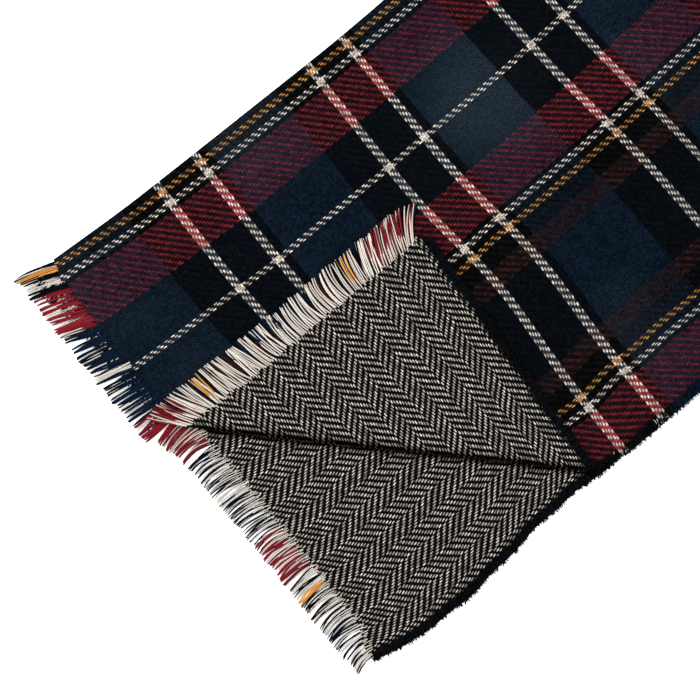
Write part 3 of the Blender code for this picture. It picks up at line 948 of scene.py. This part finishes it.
class SCARF_OT_bottom_layer(bpy.types.Operator):
    """The half of the cloth that lies on the surface, herringbone up"""

    bl_idname = "scarf.bottom_layer"
    bl_label = "Bottom layer"

    def execute(self, context):
        yarns = context.scene.scarf_yarns
        depth = across(FOLD_SEAM, BOTTOM_WIDTH, NEAR_STEP)
        along, joins = section_columns(bottom_hem(depth))
        depth = np.broadcast_to(depth[:, None], along.shape)
        middle = lay(*lower_plan(along, depth * bottom_edge(along) / BOTTOM_WIDTH), BOTTOM_MIDDLE)
        maps = {
            "face_threads": np.stack([picks(along), -depth / FACE_END_PITCH], axis=-1),
            "reverse_threads": np.stack(lower_threads(along, depth), axis=-1),
        }
        materials = [
            herringbone_material("bottom_herringbone", yarns, 0.3, -0.2),
            tartan_material("bottom_tartan", yarns, 1),
            brushed_material("bottom_edge", yarns),
        ]
        make_lengths(
            "bottom_layer", middle, maps, BOTTOM_WIDTH - depth[:, :1], joins, materials,
        )
        return {"FINISHED"}


def top_rows():
    """Depth, height and distance from the fold line of the upper layer's rows, from beneath the fold on."""
    turn = np.linspace(-math.pi / 2, math.pi / 2, 13)
    bend_depth = WALL / 2 + FOLD_RADIUS * (1.0 - np.cos(turn))
    bend_height = BOTTOM_MIDDLE + FOLD_RADIUS * (1.0 + np.sin(turn))
    top = bend_depth[-1]
    beneath = [FOLD_SEAM - SEAM_GAP]
    settling = across(top, FOLD_SETTLE, SETTLING_STEP)[1:]
    flat = across(FOLD_SETTLE, CREASE.seam_hem_depth, NEAR_STEP)[1:]
    beyond = across(CREASE.seam_hem_depth, TOP_WIDTH, NEAR_STEP)[1:]
    depth = np.concatenate([beneath, bend_depth, settling, flat, beyond])
    settled = ease((depth - top) / (FOLD_SETTLE - top))
    height = bend_height[-1] + (TOP_MIDDLE - bend_height[-1]) * settled
    height[: 1 + len(turn)] = np.concatenate([[BOTTOM_MIDDLE], bend_height])
    from_fold = depth.copy()
    from_fold[: 1 + len(turn)] = np.concatenate([[-beneath[0]], top * turn / (math.pi / 2)])
    return depth, height, from_fold


class SCARF_OT_top_layer(bpy.types.Operator):
    """The half of the cloth that lies on the other, tartan up, with the lengthwise fold's bend"""

    bl_idname = "scarf.top_layer"
    bl_label = "Top layer"

    def execute(self, context):
        yarns = context.scene.scarf_yarns
        depth, height, from_fold = top_rows()
        seam = CREASE.plan(0.0, ROLL_SEAM)
        along_seam = seam[0] + (depth - seam[1]) * CREASE.line[0] / CREASE.line[1]
        along, joins = section_columns(np.maximum(near_hem(depth), along_seam))
        depth = np.broadcast_to(depth[:, None], along.shape)
        inward = raggedness(along) * ease((depth - 0.2) / (TOP_WIDTH - 0.2))
        middle = lay(along, depth - inward, height[:, None])
        threads = np.stack(face_threads(along, np.broadcast_to(from_fold[:, None], along.shape)), axis=-1)
        materials = [
            tartan_material("top_tartan", yarns, -1),
            herringbone_material("top_herringbone", yarns, 0.3, -0.2),
            brushed_material("top_edge", yarns),
        ]
        make_lengths(
            "top_layer", middle, {"face_threads": threads, "reverse_threads": threads},
            TOP_WIDTH - from_fold[:, None], joins, materials,
        )
        return {"FINISHED"}


def turned_rows():
    """Runs, reaches, heights and unrolled reaches of the turned corner's rows, from its seam to its tip.

    A row at turn a of the roll is at reach axis - radius cos a and height TOP_MIDDLE + radius (1 + sin a).
    """
    share = np.linspace(0.0, 1.0, 110)
    radius = CREASE.radius(CREASE.length * share)
    axis_reach = radius + WALL / 2
    seam = ROLL_SEAM - SEAM_GAP
    down = np.array(CREASE.flat_side_runs(ROLL_RADIUS_ENDS + WALL / 2))
    over = np.array(CREASE.turned_side_runs(ROLL_RADIUS_ENDS + WALL / 2))
    flat = axis_reach - math.pi * radius - (seam - axis_reach)
    rows = [(spread(*CREASE.flat_side_runs(seam))(share), seam, TOP_MIDDLE, flat)]
    for turn in np.linspace(-math.pi / 2, math.pi / 2, 15):
        ends = down + (over - down) * ((turn + math.pi / 2) / math.pi)
        reach = axis_reach - radius * math.cos(turn)
        height = TOP_MIDDLE + radius * (1.0 + math.sin(turn))
        rows.append((spread(*ends)(share), reach, height, axis_reach - radius * (math.pi / 2 - turn)))
    settling = across(float(axis_reach.max()), ROLL_SETTLE, SETTLING_STEP)[1:]
    lying = across(ROLL_SETTLE, TURNED_LAST, TURNED_STEP)[1:]
    for reach in np.concatenate([settling, lying]):
        run = spread(*CREASE.turned_side_runs(reach))(share)
        rows.append((run, reach, CREASE.turned_height(run, reach), reach))
    return (np.array([np.broadcast_to(value, share.shape) for value in column]) for column in zip(*rows))


class SCARF_OT_turned_corner(bpy.types.Operator):
    """The near corner, rolled back along the crease, herringbone up"""

    bl_idname = "scarf.turned_corner"
    bl_label = "Turned corner"

    def execute(self, context):
        yarns = context.scene.scarf_yarns
        runs, reaches, heights, unrolled = turned_rows()
        edge_run = CREASE.turned_side_runs(reaches)[1]
        inward = raggedness(reaches) * ease((runs / edge_run - 0.6) / 0.4)
        middle = lay(*CREASE.plan(runs - inward, reaches), heights)
        flat_along, flat_depth = CREASE.plan(runs, unrolled)
        hem_slope = (TURNED_TIP[1] - CREASE_AT_HEM[1]) / (TURNED_TIP[0] - CREASE_AT_HEM[0])
        from_hem = flat_depth - (CREASE_AT_HEM[1] + hem_slope * (flat_along - CREASE_AT_HEM[0]))
        # The ends lie wider apart near the roll, on both sides of where one herringbone column starts.
        most, full, gone = TURNED_WIDENING
        widen = 1.0 + most * ease(1.0 - (flat_depth - full) / gone)
        still = TURNED_COLUMN_ALONG - TURNED_COLUMN_WIDTH
        ends = (flat_along - still) / (TURNED_END_PITCH * widen)
        ends = ends + (still - TURNED_COLUMN_ALONG) / TURNED_END_PITCH
        turned_picks = picks(FRINGE + from_hem * math.cos(math.atan(hem_slope)))
        maps = {
            "reverse_threads": np.stack([from_hem / REVERSE_PITCH, ends], axis=-1),
            "face_threads": np.stack([turned_picks, TOP_WIDTH / FACE_END_PITCH - ends], axis=-1),
        }
        materials = [
            herringbone_material("turned_herringbone", yarns, 0.0, -0.1),
            tartan_material("turned_tartan", yarns, -1),
            brushed_material("turned_edge", yarns),
        ]
        # The columns are turned round, so that the normals point outwards.
        middle, to_edge = middle[:, ::-1], (edge_run - runs)[:, ::-1]
        piece = cloth_shell(
            "turned_corner_cloth", middle, normals_of(middle),
            {key: value[:, ::-1] for key, value in maps.items()}, to_edge, materials,
            "turned_corner",
        )
        return {"FINISHED"}


def yarn_paths(name, hem, guide, side, drop, run_out, count, seed, over, lifts, radius):
    """Centre lines of count yarns (count, sections, 3) with their shares of the hem.

    A yarn's direction turns evenly from lean - curl at the root to lean + curl at the tip, measured from the
    square to the guide line, so a point is the root plus the sum of the direction along the length. With
    over, the yarns come out on top of the cloth, up to YARN_INSET inside the hem, and neighbours gather
    towards their lock's middle. Otherwise they come out of its edge and gather between two locks.
    """
    wander = np.random.default_rng(seed + (1 if over else 2))
    shared = np.random.default_rng(seed)
    bounds = np.cumsum(shared.choice(LOCK_COUNTS, count)) / count
    bounds = np.concatenate([[0.0], bounds[bounds < 1.0], [1.0]])
    middles = (bounds[1:] + bounds[:-1]) / 2 if over else bounds
    shares = (np.arange(count) + 0.5 + wander.uniform(-ROOT_JITTER, ROOT_JITTER, count)) / count
    lock = np.abs(shares[:, None] - middles[None, :]).argmin(axis=1)
    roots = hem(shares)
    onward, away = beside(guide, shares, 0.01, side)
    span = float(np.linalg.norm(hem(np.array([1.0])) - hem(np.array([0.0]))))
    lock_draw = shared.uniform(-1.0, 1.0, (3, len(bounds)))[:, lock]
    lean = np.interp(shares, LEAN[name]["share"], LEAN[name]["lean"])
    lean = np.radians(lean + LOCK_LEAN * lock_draw[0] + wander.normal(0.0, YARN_LEAN, count))[:, None]
    t = np.linspace(0.0, 1.0, YARN_SECTIONS + 1)[None, :]
    curl = np.interp(shares, LEAN[name]["share"], LEAN[name]["curl"])
    curl = np.radians(curl + wander.normal(0.0, YARN_CURL, count))
    angle = lean + curl[:, None] * (2.0 * t - 1.0)
    half_angle = (angle[:, 1:] + angle[:, :-1]) / 2
    from_root = ((0, 0), (1, 0))
    forward = np.pad(np.cumsum(np.cos(half_angle), axis=1) / YARN_SECTIONS, from_root)
    sideways = np.pad(np.cumsum(np.sin(half_angle), axis=1) / YARN_SECTIONS, from_root)
    inset = over * wander.uniform(0.0, YARN_INSET, count)
    longer = run_out(shares)
    reach = FRINGE * (0.97 + 0.035 * lock_draw[2] + wander.uniform(-0.025, 0.025, count)) + longer
    length = np.minimum((reach + inset) / forward[:, -1], LONGEST_YARN * FRINGE + inset + longer)[:, None]
    forward = forward * length - inset[:, None]
    to_middle = (middles[lock] - shares)[:, None] * span
    gather = to_middle * wander.choice(GATHERING, (count, 1)) * t**0.9
    wave = wander.uniform(-YARN_WAVE, YARN_WAVE, (count, 1)) * np.sin(
        2 * math.pi * (t * wander.uniform(0.4, 1.0, (count, 1)) + wander.uniform(0, 1, (count, 1)))
    ) * t**0.7
    sideways = sideways * length + gather + wave
    half = bpy.context.scene.scarf_cloth.thickness / 2
    start = roots[:, 2] + (half + 0.15 * radius if over else -0.0002)
    lift = 0.5 + 0.35 * lock_draw[1] + wander.uniform(-0.15, 0.15, count)
    finish = roots[:, 2] - drop(shares) + (lifts[0] + (lifts[1] - lifts[0]) * lift)
    rise = wander.uniform(0.0, YARN_RISE, (count, 1)) * np.sin(math.pi * t)
    points = roots[:, None, :] + away[:, None, :] * forward[:, :, None]
    points = points + onward[:, None, :] * sideways[:, :, None]
    points[:, :, 2] = start[:, None] + (finish - start)[:, None] * ease(t * 1.5) + rise
    return points, shares


def yarn_mesh(name, centres, radii, colors, sides, material):
    """Tubes, closed at both ends: each ring is the centre plus radius (cos a square + sin a above)."""
    count, sections = centres.shape[:2]
    tangent = np.gradient(centres, axis=1)
    tangent /= np.linalg.norm(tangent, axis=2, keepdims=True)
    square = np.cross(tangent, (0.0, 0.0, 1.0))
    square /= np.linalg.norm(square, axis=2, keepdims=True)
    above = np.cross(square, tangent)
    turn = np.arange(sides) * 2 * math.pi / sides
    radius = radii[:, None] * np.array(YARN_TAPER)
    ring = centres[:, :, None, :] + radius[:, :, None, None] * (
        np.cos(turn)[:, None] * square[:, :, None, :] + np.sin(turn)[:, None] * above[:, :, None, :]
    )
    ring[..., 2] = np.maximum(ring[..., 2], ABOVE_FLOOR)
    run = np.cumsum(np.linalg.norm(np.diff(centres, axis=1, prepend=centres[:, :1]), axis=2), axis=1)
    uv = np.stack(np.broadcast_arrays(run[:, :, None], np.cos(turn)), axis=-1)
    return add_mesh(
        name, ring.reshape(-1, 3), tube_faces(count, sections, sides), [material],
        uv_maps={"yarn": uv.reshape(-1, 2)},
        floats={"upward": np.tile(np.sin(turn), count * sections)},
        colors={"yarn_color": for_points(colors, ring)},
    )


def make_fringe(name, hem, guide, side, drop, run_out, sett, face_up, seed, material):
    """One fringe: the face's yarns in the sett's colours, and the reverse's cream ones."""
    yarns, sizes = bpy.context.scene.scarf_yarns, bpy.context.scene.scarf_cloth
    first, last = sett
    count = round(last - first)
    turned_over = name == "fringe_turned_corner"
    face_radius = sizes.fringe_yarn / 2 * FACE_YARN_SHARE[face_up]
    lining_radius = sizes.lining_yarn / 2 * (TURNED_LINING_SHARE if turned_over else 1.0)
    common = (name, hem, guide, side, drop, run_out, count, seed)
    centres, shares = yarn_paths(*common, face_up, FACE_LIFTS[face_up], face_radius)
    lining, _ = yarn_paths(*common, not face_up, LINING_LIFTS[face_up], lining_radius)
    # Where the tartan is up, the ends nearest the fold are drawn two ends on, as in the cloth.
    ends = first + (last - first) * shares + 2.0 * face_up * ease(1.0 - shares / 0.35)
    names = np.array(sett_yarn(np.floor(ends)))
    # Where it is down, gold yarns come up between the cream ones, and dark ones stay beneath them.
    if not face_up:
        gold = (names == "gold") & (turned_over | (shares > 0.45))
        dark = ~gold & (names != "red") & turned_over
        centres[:, 2:, 2] += (0.0012 * gold - 0.0012 * dark)[:, None]
    draw = np.random.default_rng(seed + 3)
    tint = np.array([getattr(yarns, yarn)[:] for yarn in names]) * draw.uniform(0.8, 1.5, (count, 1))
    tint = tint * np.where((names == "cream") & face_up, 0.7, 1.0)[:, None]
    radii = face_radius * draw.uniform(0.85, 1.12, count) * np.where(names == "cream", 0.75, 1.0)
    if name == "fringe_near_bottom":
        bold = np.isin(names, ["red", "gold"])
        radii = radii * np.where(bold, 1.25, 0.9)
        tint = tint * np.where(bold, 1.0, 0.6)[:, None]
    cream = np.array(yarns.cream[:]) * draw.uniform(0.75, 1.15, (count, 1))
    thin = lining_radius * draw.uniform(0.75, 1.1, count)
    until, first_kept, then_kept = LINING_KEPT_UP
    under_face = np.where(shares < until, first_kept, then_kept)
    kept_share = under_face if face_up else 1.0 if turned_over else LINING_KEPT
    kept = draw.uniform(0.0, 1.0, count) < kept_share
    piece = yarn_mesh(
        f"{name}_yarns", np.concatenate([centres, lining[kept]]), np.concatenate([radii, thin[kept]]),
        np.concatenate([tint, cream[kept]]), 4 if "far" in name else 5, material,
    )
    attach(piece, "root")
    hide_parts(name)


class SCARF_OT_fringes(bpy.types.Operator):
    """The five fringes: the face's warp ends in the sett's colours and the reverse's cream ends"""

    bl_idname = "scarf.fringes"
    bl_label = "Fringes"

    def execute(self, context):
        material = yarn_material("fringe_yarn")
        near_top = spread(0.003, CREASE.seam_hem_depth)
        far_top = spread(0.003, TOP_WIDTH - 0.003)
        bottom = spread(0.004, BOTTOM_WIDTH - BAND)
        turned = spread(0.001, TURNED_LAST - BAND + 0.0042)
        far = LAST_ALONG - ROOT_INSIDE
        crease_end = CREASE_AT_HEM[1] / FACE_END_PITCH - FOLD_TO_PIVOT
        open_end = (TOP_WIDTH - BAND) / FACE_END_PITCH
        under_sett = (FOLD_TO_PIVOT, FOLD_TO_PIVOT + open_end)

        def turned_hem(shares):
            reach = turned(shares)
            run = CREASE.turned_side_runs(reach)[0]
            return lay(*CREASE.plan(run, reach), CREASE.turned_height(run, reach))

        def far_bottom_hem(shares):
            return lay(*lower_plan(far, bottom(shares)), BOTTOM_MIDDLE)

        def near_bottom_hem(shares):
            depth = bottom(shares)
            return lay(*lower_plan(bottom_hem(depth) + ROOT_INSIDE, depth), BOTTOM_MIDDLE)

        def near_bottom_run_out(shares):
            longer = 0.0055 * ease((0.48 - shares) / 0.12) - 0.012 * ease((0.36 - shares) / 0.02)
            return bottom_hem(bottom(shares)) - FRINGE + longer

        # Name, hem, guide line, side, how far the tips lie below the hem, how much longer the yarns are,
        # first and last end of the sett from its pivot, and whether the tartan is up.
        fringes = (
            (
                "fringe_near_top", lambda s: lay(near_hem(near_top(s)) + ROOT_INSIDE, near_top(s), TOP_MIDDLE),
                lambda s: lay(FRINGE, near_top(s), 0.0), -1, lambda s: 0.0018,
                lambda s: 0.6 * (near_hem(near_top(s)) - FRINGE) + 0.005 * ease(1.0 - s / 0.08),
                (-FOLD_TO_PIVOT, crease_end - 4), True,
            ),
            (
                "fringe_near_bottom", near_bottom_hem, lambda s: lay(*lower_plan(FRINGE, bottom(s)), 0.0),
                -1, lambda s: 0.0004, near_bottom_run_out, under_sett, False,
            ),
            (
                "fringe_far_top", lambda s: lay(far, far_top(s), TOP_MIDDLE), None, 1, lambda s: 0.0012,
                lambda s: 0.0, (-FOLD_TO_PIVOT, open_end - FOLD_TO_PIVOT), True,
            ),
            (
                "fringe_far_bottom", far_bottom_hem, None, 1, lambda s: 0.0004, lambda s: 0.0,
                under_sett, False,
            ),
            (
                "fringe_turned_corner", turned_hem, None, 1,
                lambda s: turned_hem(s)[:, 2] - TURNED_MIDDLE + 0.0002, lambda s: 0.0,
                (crease_end, open_end - FOLD_TO_PIVOT), False,
            ),
        )
        for number, (name, hem, guide, *rest) in enumerate(fringes):
            make_fringe(name, hem, guide or hem, *rest, 20 + 10 * number, material)
        return {"FINISHED"}


def tufts(name, edge, picks_of, count, seed, material, face_up):
    """Tapered tufts along an edge, in the weft's colours: each starts up to BAND inside it and points out.

    How far they reach past it swells and shrinks along the edge, as the sum of three sines of unlike lengths.
    On the face, a few pale wefts fray into thin ends. On the reverse, the tufts are nearly black.
    """
    yarns = bpy.context.scene.scarf_yarns
    draw = np.random.default_rng(seed)
    shares = np.sort(draw.uniform(0.0, 1.0, count))
    in_repeat = np.floor(picks_of(shares)) % WEFT_REPEAT
    weft_rows = np.searchsorted([first for first, _ in WEFT_SETT], in_repeat, side="right")
    weft = np.array([getattr(yarns, yarn)[:] for _, yarn in WEFT_SETT])[weft_rows - 1]
    pale = weft.mean(axis=1) > PALE_YARN
    kept = ~pale | (draw.uniform(0.0, 1.0, count) < (0.25 if face_up else 0.8))
    shares, weft, pale = shares[kept], weft[kept], pale[kept]
    if not face_up:
        weft = np.where(pale[:, None], yarns.black[:], 0.12 * weft + 0.88 * np.array(yarns.black[:]))
        pale = pale & False
    count = len(shares)
    points = edge(shares)
    onward, outward = beside(edge, shares, 0.003, -1)
    run = np.concatenate([[0.0], np.cumsum(np.linalg.norm(np.diff(points, axis=0), axis=1))])
    swell = np.sin(run * 1900.0) + np.sin(run * 640.0 + 1.0) + 1.2 * np.sin(run * 151.0 + 2.0)
    start = -BAND * draw.uniform(0.0, 1.0, count) ** 1.1
    length = np.abs(draw.normal(0.0024, 0.0008, count)) + 0.0008
    furthest = 0.0012 + 0.0006 * swell + draw.uniform(-0.0008, 0.0012, count)
    tip = np.maximum(np.minimum(start + length, furthest), start + SHORTEST_TUFT)
    turn = draw.normal(0.0, TUFT_TURN, count)
    t = np.array([0.0, 0.5, 1.0])
    forward = start[:, None] + (tip - start)[:, None] * t
    aside = ((tip - start) * np.tan(turn))[:, None] * t**1.5
    centres = points[:, None, :] + outward[:, None, :] * forward[:, :, None]
    centres = centres + onward[:, None, :] * aside[:, :, None]
    centres[:, :, 2] += 0.0008 * draw.uniform(0.2, 1.0, (count, 1)) * (1.0 - 0.9 * t)
    width = np.where(pale, PALE_TUFT_RADIUS, draw.uniform(*TUFT_RADIUS, count))[:, None]
    width = width * np.array([1.0, 0.9, 0.3])
    angle = np.arange(3) * 2 * math.pi / 3 + math.pi / 6
    upward = np.array([0.0, 0.0, TUFT_FLATNESS])
    ring = centres[:, :, None, :] + width[:, :, None, None] * (
        np.cos(angle)[:, None] * onward[:, None, None, :] + np.sin(angle)[:, None] * upward
    )
    ring[..., 2] = np.maximum(ring[..., 2], 0.0002)
    strength = np.where(pale, draw.uniform(0.3, 1.0, count), draw.uniform(0.3, 1.3, count))[:, None]
    piece = add_mesh(
        name, ring.reshape(-1, 3), tube_faces(count, 3, 3)[:, ::-1], [material],
        colors={"yarn_color": for_points(weft * strength, ring)},
    )
    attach(piece, "root")
    return piece


class SCARF_OT_brushed_edges(bpy.types.Operator):
    """The short brushed fibres along the open edges"""

    bl_idname = "scarf.brushed_edges"
    bl_label = "Brushed edges"

    def execute(self, context):
        material = tuft_material("brushed_fibres")
        bottom_along = spread(bottom_hem(BOTTOM_WIDTH), LAST_ALONG)
        top_along = spread(CREASE_AT_EDGE[0], LAST_ALONG)
        turned_reach = spread(0.003, TURNED_LAST)

        def bottom(shares):
            along = bottom_along(shares)
            return lay(*lower_plan(along, bottom_edge(along)), BOTTOM_MIDDLE + TUFT_HEIGHT)

        def top(shares):
            along = top_along(shares)
            return lay(along, TOP_WIDTH - raggedness(along), TOP_MIDDLE + TUFT_HEIGHT)

        def turned(shares):
            reach = turned_reach(shares)
            run = CREASE.turned_side_runs(reach)[1] - raggedness(reach)
            return lay(*CREASE.plan(run, reach), CREASE.turned_height(run, reach) + TUFT_HEIGHT)

        def turned_picks(shares):
            whole = math.dist(TURNED_TIP, CREASE_AT_EDGE)
            return picks(FRINGE + whole * (1.0 - turned_reach(shares) / CREASE.tip_reach))

        for name, edge, picks_of, slot, count, seed in (
            ("bottom", bottom, lambda s: picks(bottom_along(s)), "reverse_herringbone", 8000, 3),
            ("top", top, lambda s: picks(top_along(s)), "face_tartan", 7500, 5),
            ("turned", turned, turned_picks, "reverse_herringbone", 1300, 7),
        ):
            name, face_up = f"brushed_edge_{name}", slot == "face_tartan"
            piece = tufts(name, edge, picks_of, count, seed, material, face_up)
        return {"FINISHED"}


def add_object(name, data, location, turn):
    """Puts a light or a camera in the scene."""
    obj = bpy.data.objects.new(name, data)
    bpy.context.scene.collection.objects.link(obj)
    obj.location = location
    obj.rotation_euler = turn
    return obj


def area_light(name, location, target, energy, size):
    """A square light that looks at its target."""
    light = bpy.data.lights.new(name, "AREA")
    light.shape = "SQUARE"
    light.energy = energy
    light.size = size
    away = np.array(location) - np.array(target)
    tilt = math.acos(away[2] / np.linalg.norm(away))
    add_object(name, light, location, (tilt, 0.0, math.atan2(away[1], away[0]) + math.pi / 2))


class SCARF_OT_stage(bpy.types.Operator):
    """A plain pale floor, soft light and a camera straight above the near end"""

    bl_idname = "scarf.stage"
    bl_label = "Stage"

    def execute(self, context):
        stage = context.scene.scarf_stage
        corners = FLOOR_HALF * np.array([(-1, -1, 0), (1, -1, 0), (1, 1, 0), (-1, 1, 0)])
        paper = paper_material("floor_paper", stage.floor_color, 0.85, 0.5)
        floor = add_mesh("floor", corners, np.array([(0, 1, 2), (0, 2, 3)]), [paper])
        world = bpy.data.worlds.new("studio")
        world.use_nodes = True
        world.node_tree.nodes["Background"].inputs["Color"].default_value = (1.0, 1.0, 1.0, 1.0)
        world.node_tree.nodes["Background"].inputs["Strength"].default_value = SKY_STRENGTH
        context.scene.world = world
        context.scene.view_settings.view_transform = "Standard"
        x, y = VIEW_MIDDLE
        dx, dy, height = KEY_LIGHT_FROM
        area_light("key", (x + dx, y + dy, height), (x, y, 0.0), **KEY_LIGHT)
        camera = bpy.data.cameras.new("above")
        camera.sensor_width = SENSOR
        camera.lens = SENSOR * stage.camera_height / stage.view_width
        camera.clip_end = 20.0
        turn = (0.0, 0.0, math.radians(VIEW_TURN))
        context.scene.camera = add_object("above", camera, (x, y, stage.camera_height), turn)
        return {"FINISHED"}


class SCARF_PT_panel(bpy.types.Panel):
    """Lists the scarf's pieces"""

    bl_label = "Tartan blanket scarf"
    bl_idname = "SCARF_PT_panel"
    bl_space_type = "VIEW_3D"
    bl_region_type = "UI"
    bl_category = "Scarf"

    def draw(self, context):
        for name in GROUPS:
            group = getattr(context.scene, name)
            for key in group.__annotations__:
                self.layout.prop(group, key)
        for operator in OPERATORS:
            self.layout.operator(operator.bl_idname)


OPERATORS = (
    SCARF_OT_stage,
    SCARF_OT_bottom_layer,
    SCARF_OT_top_layer,
    SCARF_OT_turned_corner,
    SCARF_OT_fringes,
    SCARF_OT_brushed_edges,
)
GROUPS = {"scarf_yarns": ScarfYarns, "scarf_cloth": ScarfCloth, "scarf_stage": ScarfStage}


def register():
    for item in (*GROUPS.values(), *OPERATORS, SCARF_PT_panel):
        bpy.utils.register_class(item)
    for name, group in GROUPS.items():
        setattr(bpy.types.Scene, name, bpy.props.PointerProperty(type=group))


def unregister():
    for name in GROUPS:
        delattr(bpy.types.Scene, name)
    for item in reversed((*GROUPS.values(), *OPERATORS, SCARF_PT_panel)):
        bpy.utils.unregister_class(item)


def main():
    register()
    for operator in OPERATORS:
        group, _, name = operator.bl_idname.partition(".")
        getattr(getattr(bpy.ops, group), name)()


if __name__ == "__main__":
    main()
